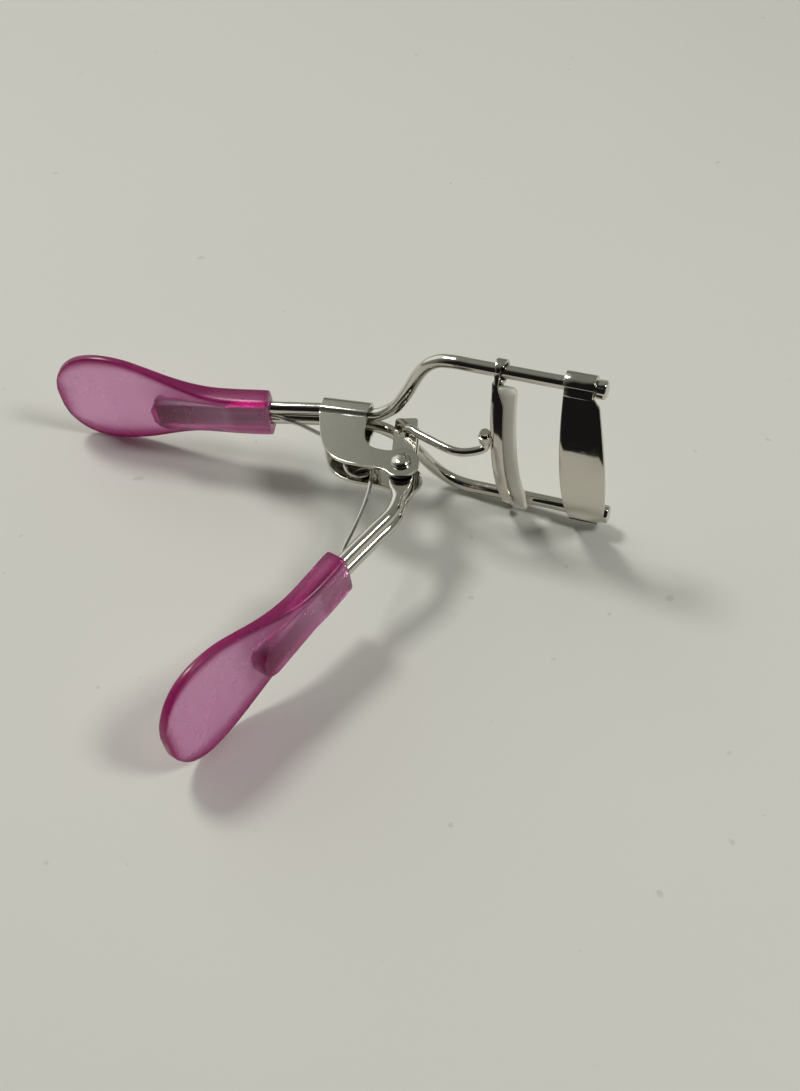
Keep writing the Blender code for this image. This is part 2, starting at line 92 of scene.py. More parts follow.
class Amount:
    """A number that varies over a surface, so that sums on it read as sums."""

    def __init__(self, finish, socket):
        self.finish = finish
        self.socket = socket

    def work(self, operation, one, two):
        made = self.finish.node("ShaderNodeMath", {"operation": operation}, {0: one, 1: two})
        return Amount(self.finish, made.outputs[0])

    def __add__(self, other):
        return self.work("ADD", self, other)

    def __sub__(self, other):
        return self.work("SUBTRACT", self, other)

    def __rsub__(self, other):
        return self.work("SUBTRACT", other, self)

    def __mul__(self, other):
        return self.work("MULTIPLY", self, other)

    __radd__ = __add__
    __rmul__ = __mul__


class Finish:
    """One surface finish, built on the Principled shader."""

    def __init__(self, name, constants):
        self.material = bpy.data.materials.new(name)
        self.material.use_nodes = True
        self.tree = self.material.node_tree
        self.shader = self.tree.nodes["Principled BSDF"]
        for socket, value in constants.items():
            self.shader.inputs[socket].default_value = value
        self.spot = self.node("ShaderNodeTexCoord").outputs["Object"]

    def node(self, kind, settings=None, inputs=None):
        made = self.tree.nodes.new(kind)
        for setting, value in (settings or {}).items():
            setattr(made, setting, value)
        for socket, value in (inputs or {}).items():
            self.join(value, made.inputs[socket])
        return made

    def join(self, value, socket):
        if isinstance(value, Amount):
            value = value.socket
        if isinstance(value, bpy.types.NodeSocket):
            self.tree.links.new(value, socket)
        else:
            socket.default_value = value

    def noise(self, scale, detail=3.0, stretch=None):
        """Soft random patches, so many to the metre, or streaks if stretched."""
        spot = self.spot
        if stretch:
            spot = self.node(
                "ShaderNodeMapping", None,
                {"Vector": spot, "Scale": stretch, "Rotation": (0.08, -0.095, 0.4)},
            ).outputs[0]
        made = self.node(
            "ShaderNodeTexNoise", None, {"Vector": spot, "Scale": scale, "Detail": detail}
        )
        return Amount(self, made.outputs["Fac"])

    def ramp(self, amount, low, high):
        """0 below low, 1 above high, with a soft step between."""
        made = self.node(
            "ShaderNodeMapRange", {"interpolation_type": "SMOOTHSTEP"},
            {"Value": amount, "From Min": low, "From Max": high},
        )
        return Amount(self, made.outputs[0])

    def mix(self, share, one, two):
        """From one colour, or a colour made before, to another."""
        if not isinstance(one, bpy.types.NodeSocket):
            one = (*one, 1.0)
        made = self.node(
            "ShaderNodeMix", {"data_type": "RGBA"}, {"Factor": share, "A": one, "B": (*two, 1.0)}
        )
        return made.outputs["Result"]

    def bump(self, height, depth, lean=0.0):
        """Relief of so many metres. A lean turns the shading normal upward."""
        made = self.node(
            "ShaderNodeBump", None, {"Height": height, "Distance": depth, "Strength": 1.0}
        )
        if lean:
            facing = self.node("ShaderNodeNewGeometry").outputs["Normal"]
            raised = self.node(
                "ShaderNodeVectorMath", {"operation": "ADD"}, {0: facing, 1: (0.0, 0.0, lean)}
            )
            evened = self.node(
                "ShaderNodeVectorMath", {"operation": "NORMALIZE"}, {0: raised.outputs[0]}
            )
            self.join(evened.outputs[0], made.inputs["Normal"])
        self.join(made.outputs[0], self.shader.inputs["Normal"])


table_finish = Finish("table", {"Roughness": 0.62, "Specular IOR Level": 0.3})
blotch = table_finish.noise(9.0, 4.0)
fleck = table_finish.ramp(table_finish.noise(240.0, 1.0), 0.765, 0.80)
tone = table_finish.mix(blotch, (0.735, 0.735, 0.69), (0.775, 0.775, 0.735))
tone = table_finish.mix(fleck * 0.35, tone, (0.45, 0.44, 0.40))
table_finish.join(tone, table_finish.shader.inputs["Base Color"])
table_finish.bump(table_finish.noise(260.0, 3.0), 0.00004)
bpy.ops.mesh.primitive_plane_add(
    size=TABLE_SIZE, location=TABLE_CENTRE, rotation=(0.0, 0.0, TABLE_TURN)
)
table = bpy.context.object
bpy.ops.object.transform_apply(location=True, rotation=True, scale=True)
table.name = "table"
table.data.materials.append(table_finish.material)

aim = Vector((0.0, 0.0, 0.015))
for where, size, power, colour in (
    ((-0.50, 0.20, 0.84), 0.17, 1.95, (1.0, 0.985, 0.93)),
    ((0.60, 0.02, 0.78), 0.19, 1.55, (1.0, 0.99, 0.95)),
):
    spot = aim + Vector(where) * LAMP_REACH
    bpy.ops.object.light_add(type="AREA", location=spot)
    lamp = bpy.context.object
    lamp.rotation_euler = (aim - spot).to_track_quat("-Z", "Y").to_euler()
    lamp.data.shape = "DISK"
    lamp.data.size = size
    lamp.data.energy = power
    lamp.data.color = colour

room = bpy.data.worlds.new("room")
room.use_nodes = True
bpy.context.scene.world = room
room_nodes = room.node_tree.nodes
room_links = room.node_tree.links
direction = room_nodes.new("ShaderNodeTexCoord").outputs["Generated"]
shade = None
for heading, near, far, colour in (
    ((-0.225, 0.593, 0.773), 0.70, 0.97, (0.25, 0.25, 0.22)),
    ((0.33, -0.86, 0.38), 0.35, 0.70, (0.012, 0.011, 0.012)),
    ((-0.85, 0.30, 0.45), 0.80, 0.97, (0.95, 0.96, 0.92)),
):
    facing = room_nodes.new("ShaderNodeVectorMath")
    facing.operation = "DOT_PRODUCT"
    room_links.new(direction, facing.inputs[0])
    facing.inputs[1].default_value = heading
    step = room_nodes.new("ShaderNodeMapRange")
    step.interpolation_type = "SMOOTHSTEP"
    step.inputs["From Min"].default_value = near
    step.inputs["From Max"].default_value = far
    room_links.new(facing.outputs["Value"], step.inputs["Value"])
    blend = room_nodes.new("ShaderNodeMix")
    blend.data_type = "RGBA"
    room_links.new(step.outputs[0], blend.inputs["Factor"])
    if shade:
        room_links.new(shade, blend.inputs["A"])
    else:
        blend.inputs["A"].default_value = (0.20, 0.205, 0.185, 1.0)
    blend.inputs["B"].default_value = (*colour, 1.0)
    shade = blend.outputs["Result"]
room_links.new(shade, room_nodes["Background"].inputs["Color"])
room_nodes["Background"].inputs["Strength"].default_value = 1.0

# ------------------------------------------------------------- frame wire
# One length of 2.4 mm steel wire, bent in a hairpin inside the grip and into
# both guide rods, then bright nickel plated. Handling leaves it faintly smeared.
WIRE_R = 1.22
LEG_Z = 1.35
GUIDE_Y = 13.0
GUIDE_Z = 17.0
GUIDE_END_X = 33.9
SLEEVE_LEFT = (-19.2, 9.46)
HANDLE_TURN = math.radians(12.0)
HANDLE = Vector((-math.cos(HANDLE_TURN), -math.sin(HANDLE_TURN), 0.0))
GRIP_START = 10.3
WIRE_IN_GRIP = 21.6
MERGE_WITHIN = 0.0005


def plating(name, colour, polish, scratched=1.0, lean=0.0):
    """Bright nickel over steel: smears, hairline scratches and pin-holes.

    The lean is a device of the looks and not a shape: it turns the shading normal
    upward by a constant, so that a flat strip mirrors the dim room, not the table.
    """
    made = Finish(name, {"Metallic": 1.0})
    smear = made.ramp(made.noise(95.0, 4.0), 0.42, 0.75)
    hair = made.ramp(made.noise(900.0, 2.0, (0.05, 1.0, 1.0)), 0.60, 0.72)
    cross = made.ramp(made.noise(900.0, 2.0, (1.0, 0.06, 1.0)), 0.62, 0.74)
    pit = made.ramp(made.noise(2600.0, 1.0), 0.72, 0.80)
    rough = polish + smear * 0.045 + (hair + cross) * (0.05 * scratched) + pit * 0.15
    dull = tuple(c * 0.86 for c in colour)
    tint = made.mix(smear * 0.5 + pit * 0.5, colour, dull)
    made.join(tint, made.shader.inputs["Base Color"])
    made.join(rough, made.shader.inputs["Roughness"])
    groove = 0.08 * scratched
    relief = made.noise(420.0, 2.0) * 0.6 - hair * groove - cross * groove - pit * 0.25
    made.bump(relief, 0.000012, lean)
    return made.material


nickel_wire = plating("nickel_plated_wire", (0.66, 0.645, 0.58), 0.07)


def alone(piece):
    """Select one piece and nothing else."""
    bpy.ops.object.select_all(action="DESELECT")
    piece.select_set(True)
    bpy.context.view_layer.objects.active = piece


def settled(piece, name, finish, sharp=35.0, flats=False):
    """Name and finish a piece modelled in the curler's directions and lay it down."""
    alone(piece)
    bpy.ops.object.transform_apply(location=True, rotation=True, scale=True)
    bpy.ops.object.mode_set(mode="EDIT")
    bpy.ops.mesh.select_all(action="SELECT")
    bpy.ops.mesh.remove_doubles(threshold=MERGE_WITHIN)
    bpy.ops.mesh.normals_make_consistent(inside=False)
    bpy.ops.object.mode_set(mode="OBJECT")
    piece.data.transform(PLACE)
    bpy.ops.object.shade_smooth_by_angle(angle=math.radians(sharp))
    if flats:
        level = piece.modifiers.new("level", "WEIGHTED_NORMAL")
        level.weight = 100
        level.keep_sharp = True
        bpy.ops.object.modifier_apply(modifier=level.name)
    piece.name = name
    piece.data.name = name
    piece.data.materials.clear()
    piece.data.materials.append(finish)
    return piece


def flowing(points, steps=10):
    """A smooth path through the given points."""
    known = [Vector(p) for p in points]
    known = [known[0] * 2 - known[1]] + known + [known[-1] * 2 - known[-2]]
    path = []
    for a, b, c, d in zip(known, known[1:], known[2:], known[3:]):
        for k in range(steps):
            t = k / steps
            path.append(
                0.5 * (2 * b + (c - a) * t + (2 * a - 5 * b + 4 * c - d) * t ** 2
                       + (3 * b - a - 3 * c + d) * t ** 3)
            )
    path.append(known[-2])
    return path


def bent_wire(path, radius, roundness=7):
    """Round wire drawn along a path as a curve, then made a mesh."""
    bpy.ops.object.select_all(action="DESELECT")
    bpy.ops.curve.primitive_nurbs_path_add()
    wire = bpy.context.object
    wire.data.splines.clear()
    line = wire.data.splines.new("POLY")
    line.points.add(len(path) - 1)
    for point, where in zip(line.points, path):
        point.co = (*where, 1.0)
    wire.data.bevel_depth = radius
    wire.data.bevel_resolution = roundness
    wire.data.use_fill_caps = True
    bpy.ops.object.convert(target="MESH")
    return bpy.context.object


def hairpin(centre, heading, steps=14):
    """The half turn that joins two stacked legs, from the upper to the lower."""
    return [
        centre + heading * (LEG_Z * math.sin(math.pi * k / steps))
        + Vector((0.0, 0.0, LEG_Z * math.cos(math.pi * k / steps)))
        for k in range(1, steps)
    ]


sleeve_left = Vector((*SLEEVE_LEFT, 0.0))
frame_turn_at = sleeve_left + HANDLE * (GRIP_START + WIRE_IN_GRIP - LEG_Z - WIRE_R)
upper_bend = flowing([
    (-11.2, 10.24, LEG_Z), (-8.7, 10.45, 1.75), (-6.6, 10.8, 2.95), (-4.5, 11.2, 4.9),
    (-2.3, 11.8, 8.5), (-0.3, 12.4, 12.3), (1.6, 12.8, 14.9), (4.0, 13.0, 16.5),
    (6.8, GUIDE_Y, GUIDE_Z), (9.5, GUIDE_Y, GUIDE_Z),
], 8)
upper_leg = [frame_turn_at + Vector((0.0, 0.0, LEG_Z))]
upper_leg += flowing([
    (-22.0, 8.865, LEG_Z), (SLEEVE_LEFT[0], 9.42, LEG_Z), (-16.5, 9.76, LEG_Z),
], 6)
upper_leg += upper_bend + [Vector((GUIDE_END_X, GUIDE_Y, GUIDE_Z))]
lower_leg = [Vector((p.x, p.y, -p.z)) for p in upper_leg]
frame_path = list(reversed(upper_leg)) + hairpin(frame_turn_at, HANDLE) + lower_leg
frame_rods = bent_wire(frame_path, WIRE_R)
settled(frame_rods, "frame_rods", nickel_wire)
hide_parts("frame_wire")
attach(frame_rods, "frame")

# ---------------------------------------------------------------- bracket
# Steel strip 0.8 mm thick, pressed into a U that grips both wires and runs out
# in two cheeks with rounded ears for the rivet. Its cut edges are rolled bright.
SHEET = 0.8
CHEEK_OUT_Z = 3.0
EAR_R = 3.25
RIVET_R = 1.0
RIVET_FIT = 0.06
BORE_REACH = 5.0
SLEEVE_RIGHT = (-10.0, 10.35)
nickel_sheet = plating("nickel_plated_sheet", (0.58, 0.572, 0.51), 0.075, 0.7)


def arc_points(centre, radius, start, end, count):
    """Points along part of a circle, angles in degrees."""
    angles = [math.radians(start + (end - start) * i / (count - 1)) for i in range(count)]
    return [(centre[0] + radius * math.cos(a), centre[1] + radius * math.sin(a)) for a in angles]


def blank(outline, start, end, rim=0.0, across_x=False):
    """A flat blank of the given outline, from start to end, with its rims eased."""
    bpy.ops.object.select_all(action="DESELECT")
    bpy.ops.mesh.primitive_circle_add(vertices=len(outline), radius=1.0, fill_type="NGON")
    piece = bpy.context.object
    for vertex, (a, b) in zip(piece.data.vertices, outline):
        vertex.co = (start, a, b) if across_x else (a, b, start)
    bpy.ops.object.mode_set(mode="EDIT")
    bpy.ops.mesh.select_all(action="SELECT")
    rise = (end - start, 0.0, 0.0) if across_x else (0.0, 0.0, end - start)
    bpy.ops.mesh.extrude_region_move(TRANSFORM_OT_translate={"value": rise})
    bpy.ops.mesh.select_all(action="SELECT")
    bpy.ops.mesh.normals_make_consistent(inside=False)
    if rim:
        bpy.ops.mesh.select_all(action="DESELECT")
        bpy.ops.mesh.select_mode(type="FACE")
        shape = bmesh.from_edit_mesh(piece.data)
        for face in shape.faces:
            flat = abs(face.normal.x if across_x else face.normal.z) > 0.99
            face.select = flat and len(face.verts) == len(outline)
        bmesh.update_edit_mesh(piece.data)
        bpy.ops.mesh.select_mode(type="EDGE")
        bpy.ops.mesh.region_to_loop()
        bpy.ops.mesh.bevel(offset=rim, segments=2, affect="EDGES")
    bpy.ops.object.mode_set(mode="OBJECT")
    return piece


def bar(centre, radius, start, end, sides=48, axis="Z"):
    """A plain round bar, for cutting bores and for eyes."""
    bpy.ops.object.select_all(action="DESELECT")
    middle = 0.5 * (start + end)
    place = (centre[0], centre[1], middle) if axis == "Z" else (middle, centre[0], centre[1])
    turn = (0.0, 0.0, 0.0) if axis == "Z" else (0.0, math.pi / 2, 0.0)
    bpy.ops.mesh.primitive_cylinder_add(
        vertices=sides, radius=radius, depth=end - start, location=place, rotation=turn
    )
    made = bpy.context.object
    bpy.ops.object.transform_apply(location=True, rotation=True, scale=True)
    return made


def worked(piece, other, operation):
    """Join another shape to a piece, or cut it away, and drop the other."""
    alone(piece)
    step = piece.modifiers.new("work", "BOOLEAN")
    step.operation = operation
    step.solver = "EXACT"
    step.object = other
    bpy.ops.object.modifier_apply(modifier=step.name)
    bpy.data.objects.remove(other, do_unlink=True)
    return piece


sleeve_run = Vector((SLEEVE_RIGHT[0] - SLEEVE_LEFT[0], SLEEVE_RIGHT[1] - SLEEVE_LEFT[1]))
CHEEK_IN_Z = CHEEK_OUT_Z - SHEET
outer_wall = [
    (-2.6, CHEEK_OUT_Z), (-2.1, CHEEK_OUT_Z), (-1.75, 3.12), (-1.45, 3.36), (-1.15, 3.48),
    (-0.8, 3.52), (0.0, 3.52),
]
outer_wall += arc_points((0.3, 1.72), 1.8, 88, 2, 14)
inner_wall = [
    (-2.6, CHEEK_IN_Z), (-2.0, CHEEK_IN_Z), (-1.4, 2.66), (-0.9, 2.72), (0.0, 2.72),
]
inner_wall += arc_points((0.3, 1.62), 1.1, 86, 4, 12)
sleeve_outline = (
    outer_wall + [(y, -z) for y, z in reversed(outer_wall)]
    + [(y, -z) for y, z in inner_wall] + list(reversed(inner_wall))
)
bracket = blank(sleeve_outline, 0.0, sleeve_run.length, 0.14, across_x=True)
bracket.data.transform(
    Matrix.Translation(sleeve_left)
    @ Matrix.Rotation(math.atan2(sleeve_run.y, sleeve_run.x), 4, "Z")
)
cheek_guide = [
    (-19.0, 7.9, 0), (-18.5, 6.3, 0), (-17.7, 4.4, 0), (-16.7, 2.4, 0), (-15.6, 0.6, 0),
    (-14.1, -0.95, 0), (-12.2, -2.05, 0), (-10.0, -2.5, 0), (-7.6, -2.5, 0), (-5.2, -2.35, 0),
    (-3.6, -2.35, 0),
]
cheek_outline = [(p.x, p.y) for p in flowing(cheek_guide, 3)]
cheek_outline += arc_points((0.0, 0.0), EAR_R, -128, 136, 37)
cheek_outline += [(p.x, p.y) for p in flowing([
    (-3.3, 1.95, 0), (-4.6, 1.85, 0), (-5.8, 1.9, 0), (-6.9, 2.2, 0), (-7.8, 2.9, 0),
    (-8.5, 3.9, 0), (-9.05, 5.2, 0), (-9.45, 6.6, 0), (-9.75, 8.35, 0),
], 3)]
for side in (1, -1):
    low, high = sorted((side * CHEEK_IN_Z, side * CHEEK_OUT_Z))
    worked(bracket, blank(cheek_outline, low, high, 0.13), "UNION")
worked(bracket, bar((0.0, 0.0), RIVET_R + RIVET_FIT, -BORE_REACH, BORE_REACH), "DIFFERENCE")
settled(bracket, "folded_bracket", nickel_sheet, 24.0, True)
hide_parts("bracket")
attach(bracket, "frame")

# ------------------------------------------------------------ pivot rivet
# A solid rivet with a domed head, closed over on the far cheek. The lever turns
# on its shank. The head keeps the ring left by the setting tool.
SEAT_Z = CHEEK_OUT_Z + 0.02
rivet_profile = [
    (0.35, 3.97), (0.7, 3.94), (1.05, 3.86), (1.35, 3.74), (1.6, 3.56), (1.74, 3.38),
    (1.79, 3.22), (1.72, 3.08), (1.5, SEAT_Z), (RIVET_R, SEAT_Z),
    (RIVET_R, -SEAT_Z), (1.5, -SEAT_Z), (1.58, -3.12), (1.5, -3.34),
    (1.2, -3.52), (0.9, -3.6), (0.72, -3.52), (0.4, -3.49),
]


def stock(rings, sides):
    """Round bar along x with a ring of vertices at every whole number."""
    bpy.ops.object.select_all(action="DESELECT")
    bpy.ops.mesh.primitive_cylinder_add(
        vertices=sides, radius=1.0, depth=rings, location=(0.5 * rings, 0.0, 0.0),
        rotation=(0.0, math.pi / 2, 0.0),
    )
    made = bpy.context.object
    bpy.ops.object.transform_apply(location=True, rotation=True, scale=True)
    bpy.ops.object.mode_set(mode="EDIT")
    bpy.ops.mesh.select_mode(type="EDGE")
    bpy.ops.mesh.select_all(action="DESELECT")
    shape = bmesh.from_edit_mesh(made.data)
    for edge in shape.edges:
        one, two = edge.verts
        edge.select = abs(one.co.x - two.co.x) > 0.5 * rings
    bmesh.update_edit_mesh(made.data)
    bpy.ops.mesh.subdivide_edgering(number_cuts=rings - 1, interpolation="LINEAR", smoothness=0.0)
    bpy.ops.object.mode_set(mode="OBJECT")
    return made


def shaped(piece, section):
    """Move each vertex of round stock to where section(ring, angle) puts it."""
    for vertex in piece.data.vertices:
        ring = round(vertex.co.x)
        vertex.co = section(ring, math.atan2(vertex.co.z, vertex.co.y))
    return piece


def rivet_section(ring, angle):
    radius, level = rivet_profile[ring]
    return Vector((radius * math.cos(angle), radius * math.sin(angle), level))


rivet = shaped(stock(len(rivet_profile) - 1, 48), rivet_section)
settled(rivet, "domed_rivet", nickel_wire, 50.0)
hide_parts("pivot_rivet")
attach(rivet, "frame")

# ------------------------------------------------------------------ lever
# The same wire bent in a hairpin. Its two ends are pressed flat into a lug that
# is drilled for the rivet and for the link.
LUG_DIR = Vector((-0.270, 0.963, 0.0)).normalized()
LUG_END = 11.3
LUG_HALF_W = 2.1
LUG_HALF_T = 0.55
LUG_Z = 1.27
FLAT_TO = 6.2
LEVER_FIT = 0.12
LINK_HOLE_AT = 7.9
LINK_HOLE_R = 1.36
LEVER_GRIP_AT = Vector((-3.03, -23.27, 0.0))
LEVER_TURN = math.radians(74.5)
LEVER_DIR = Vector((-math.cos(LEVER_TURN), -math.sin(LEVER_TURN), 0.0))


def rounded(angle, half_a, half_b, corner):
    """A point on a rounded rectangle: corner 1 is an ellipse, 0.2 nearly square."""
    c = math.cos(angle)
    s = math.sin(angle)
    return (
        half_a * math.copysign(abs(c) ** corner, c),
        half_b * math.copysign(abs(s) ** corner, s),
    )


lug_run = [LUG_DIR * d for d in (LUG_END, LUG_END - 0.1, LUG_END - 0.3, LUG_END - 0.7)]
lug_run += [LUG_DIR * (LUG_END - 0.9 - 1.2 * k) for k in range(1, 14)]
lever_bend = flowing([
    tuple(LUG_DIR * -(FLAT_TO - 0.9)), (1.72, -7.0, 0.0), (1.86, -8.6, 0.0), (1.72, -10.2, 0.0),
    (1.2, -11.9, 0.0), (0.35, -14.0, 0.0), (-0.62, -16.6, 0.0), (-1.72, -19.5, 0.0),
    tuple(LEVER_GRIP_AT), (-4.0, -26.77, 0.0),
], 5)
lever_turn_at = LEVER_GRIP_AT + LEVER_DIR * (WIRE_IN_GRIP - LEG_Z - WIRE_R)
lever_line = lug_run + lever_bend[1:] + [lever_turn_at]
lever_rods = None
for side in (1, -1):
    leg = stock(len(lever_line) - 1, 28)

    def leg_section(ring, angle, side=side):
        here = lever_line[ring]
        before = lever_line[max(ring - 1, 0)]
        after = lever_line[min(ring + 1, len(lever_line) - 1)]
        heading = (after - before).normalized()
        across = Vector((-heading.y, heading.x, 0.0))
        reach = here.dot(LUG_DIR) if ring < len(lug_run) + 6 else -99.0
        flat = min(1.0, max(0.0, (reach + 7.6) / 4.4))
        flat = flat * flat * (3.0 - 2.0 * flat)
        half_w = WIRE_R + (LUG_HALF_W - WIRE_R) * flat
        half_t = WIRE_R + (LUG_HALF_T - WIRE_R) * flat
        if ring < 4:
            half_w -= (0.5, 0.22, 0.06, 0.0)[ring]
        level = LEG_Z + (LUG_Z - LEG_Z) * flat
        a, b = rounded(angle, half_w, half_t, 1.0 - 0.75 * flat)
        b = max(-half_t, min(half_t, b * (1.0 + 0.3 * flat)))
        spot = here + across * a
        return Vector((spot.x, spot.y, side * (level + b)))

    shaped(leg, leg_section)
    if lever_rods is None:
        lever_rods = leg
    else:
        alone(lever_rods)
        leg.select_set(True)
        bpy.ops.object.join()
lever_hairpin = [lever_turn_at + Vector((0.0, 0.0, LEG_Z))]
lever_hairpin += hairpin(lever_turn_at, LEVER_DIR) + [lever_turn_at - Vector((0.0, 0.0, LEG_Z))]
turn_wire = bent_wire(lever_hairpin, WIRE_R, 12)
alone(lever_rods)
turn_wire.select_set(True)
bpy.ops.object.join()
link_hole = LUG_DIR * LINK_HOLE_AT
for centre, radius in (((0.0, 0.0), RIVET_R + LEVER_FIT), (link_hole.xy, LINK_HOLE_R)):
    worked(lever_rods, bar(centre, radius, -BORE_REACH, BORE_REACH), "DIFFERENCE")
settled(lever_rods, "lever_rods", nickel_wire, 32.0, True)
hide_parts("lever_wire")
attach(lever_rods, "lever")

# ------------------------------------------------------------------- link
# Thinner wire, hooked down through the lug at one end and turned up into the
# jaw's small eye at the other. It is cut, bent and plated in one piece.
LINK_R = 0.78
LINK_Z = 2.72
HOOK_AT = (-1.99, 8.11)
JAW_EYE = (13.6, 7.2)


def soften_ends(piece, ends, depth):
    """Bevel the rims of the flat wire ends that lie near the given points."""
    alone(piece)
    bpy.ops.object.mode_set(mode="EDIT")
    bpy.ops.mesh.select_mode(type="FACE")
    bpy.ops.mesh.select_all(action="SELECT")
    bpy.ops.mesh.remove_doubles(threshold=MERGE_WITHIN)
    bpy.ops.mesh.select_all(action="DESELECT")
    shape = bmesh.from_edit_mesh(piece.data)
    for face in shape.faces:
        face.select = len(face.verts) > 4 and any(
            (face.calc_center_median() - Vector(end)).length < 0.05 for end in ends
        )
    bmesh.update_edit_mesh(piece.data)
    bpy.ops.mesh.bevel(offset=depth, segments=3, affect="EDGES")
    bpy.ops.object.mode_set(mode="OBJECT")


link_path = flowing([
    (HOOK_AT[0], HOOK_AT[1], -2.3), (HOOK_AT[0], HOOK_AT[1], 0.0),
    (HOOK_AT[0] + 0.02, HOOK_AT[1], 1.75), (HOOK_AT[0] + 0.3, HOOK_AT[1] - 0.05, 2.48),
    (HOOK_AT[0] + 1.05, HOOK_AT[1] - 0.25, LINK_Z), (0.5, 7.2, LINK_Z), (3.4, 6.25, LINK_Z),
    (5.6, 5.55, LINK_Z), (7.6, 5.08, LINK_Z), (9.4, 5.0, LINK_Z), (11.0, 5.45, LINK_Z),
    (12.5, 6.25, LINK_Z + 0.02), (JAW_EYE[0] - 0.25, JAW_EYE[1] - 0.3, LINK_Z + 0.25),
    (JAW_EYE[0], JAW_EYE[1], LINK_Z + 1.1), (JAW_EYE[0], JAW_EYE[1], 5.4),
    (JAW_EYE[0], JAW_EYE[1], 7.0),
])
hooked_link = bent_wire(link_path, LINK_R, 6)
soften_ends(hooked_link, [link_path[0], link_path[-1]], 0.18)
settled(hooked_link, "hooked_link", nickel_wire)
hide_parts("link_wire")
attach(hooked_link, "link")

# ------------------------------------------------------------ jaw channel
# Thin strip pressed into a curved channel that holds the pad. Its ends are
# rolled into eyes that slide on the guide rods, and a small eye takes the link.
ARC_R = 36.5
ARC_CENTRE_Y = 6.3 + ARC_R
JAW_END = 26.5
JAW_STEPS = 56
JAW_SHEET = 0.56
CHANNEL_BACK_X = 14.7
EYE_X = (14.45, 16.4)
ROLL_R = 1.86


def on_arc(x, radius, degrees):
    """A point on the shared curve of jaw, pad and plate."""
    a = math.radians(degrees)
    return Vector((x, ARC_CENTRE_Y - radius * math.cos(a), radius * math.sin(a)))


def pressed(across, lengthways, section):
    """A strip laid out as a grid and bent to section(i, j)."""
    bpy.ops.object.select_all(action="DESELECT")
    bpy.ops.mesh.primitive_grid_add(
        x_subdivisions=across - 1, y_subdivisions=lengthways - 1, size=2.0
    )
    strip = bpy.context.object
    for vertex in strip.data.vertices:
        i = round((vertex.co.x + 1.0) * 0.5 * (across - 1))
        j = round((vertex.co.y + 1.0) * 0.5 * (lengthways - 1))
        vertex.co = section(i, j)
    return strip


def thickened(strip, thickness, rim):
    """Give a strip its metal, evenly on both faces, and roll its cut edges."""
    alone(strip)
    wall = strip.modifiers.new("wall", "SOLIDIFY")
    wall.thickness = thickness
    wall.offset = 0.0
    wall.use_even_offset = True
    bpy.ops.object.modifier_apply(modifier=wall.name)
    ease = strip.modifiers.new("ease", "BEVEL")
    ease.width = rim
    ease.segments = 2
    ease.limit_method = "ANGLE"
    ease.angle_limit = math.radians(50)
    bpy.ops.object.modifier_apply(modifier=ease.name)


channel_profile = [(16.88, 0.30), (16.2, 0.30), (15.4, 0.30), (15.0, 0.34), (14.78, 0.55)]
channel_profile += [(CHANNEL_BACK_X, 0.90), (CHANNEL_BACK_X, 1.70), (CHANNEL_BACK_X, 2.50)]
channel_profile += [(14.78, 2.85), (15.0, 3.06)]
channel_profile += [(15.4, 3.10), (16.2, 3.10), (16.88, 3.10)]


def channel_section(i, j):
    """The channel's own section, cut away to a neck towards the upper eye."""
    x, depth = channel_profile[i]
    degrees = -JAW_END + 2.0 * JAW_END * j / JAW_STEPS
    neck = min(1.0, max(0.0, (degrees - 20.5) / 6.0))
    return on_arc(
        CHANNEL_BACK_X + (x - CHANNEL_BACK_X) * (1.0 - 0.68 * neck), ARC_R - depth, degrees
    )


jaw_sheet = plating("nickel_plated_jaw", (0.66, 0.625, 0.56), 0.06, 1.0, 0.25)
channel = pressed(len(channel_profile), JAW_STEPS + 1, channel_section)
thickened(channel, JAW_SHEET, 0.1)
settled(channel, "jaw_shell", jaw_sheet, 40.0)
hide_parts("jaw_channel")
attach(channel, "jaw")

for side, name, narrow in ((1, "upper", 0.62), (-1, "lower", 0.08)):
    # the strip's end is rolled round the rod, a little loose, and closes on itself
    rolled = [150 - 5 * k for k in range(62)]
    eye_middle = 0.5 * (EYE_X[0] + EYE_X[1])
    eye_half = 0.5 * (EYE_X[1] - EYE_X[0]) - 0.05

    def eye_section(i, j, side=side, narrow=narrow):
        a = math.radians(rolled[j])
        waist = max(0.0, math.cos(a - math.radians(165.0))) ** 2
        x = eye_middle + eye_half * (i / 2 - 1.0) * (1.0 - narrow * waist)
        y = GUIDE_Y + ROLL_R * math.cos(a)
        return Vector((x, y, side * (GUIDE_Z + ROLL_R * math.sin(a))))

    eye = pressed(5, len(rolled), eye_section)
    thickened(eye, 0.6, 0.12)

    def tab_section(i, j, side=side, narrow=narrow):
        degrees = (24.8, 26.2, 27.6, 29.2)[j]
        half = eye_half * (1.0 - narrow * (0.75, 1.0, 0.9, 0.8)[j])
        spot = on_arc(eye_middle - 0.1 + half * (i - 1), ARC_R - 0.30, degrees)
        return Vector((spot.x, spot.y, side * spot.z))

    tab = pressed(3, 4, tab_section)
    thickened(tab, 0.54, 0.1)
    alone(eye)
    tab.select_set(True)
    bpy.ops.object.join()
    settled(eye, "jaw_eye_" + name, nickel_sheet, 40.0)
    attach(eye, "jaw")

link_eye = blank(
    [(JAW_EYE[0] + x, JAW_EYE[1] + y) for x, y in arc_points((0, 0), 1.24, 0, 352.5, 48)],
    4.7, 6.2, 0.08,
)
worked(link_eye, bar(JAW_EYE, 0.98, 2.0, 9.0), "DIFFERENCE")
settled(link_eye, "jaw_link_eye", nickel_sheet, 30.0)
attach(link_eye, "jaw")

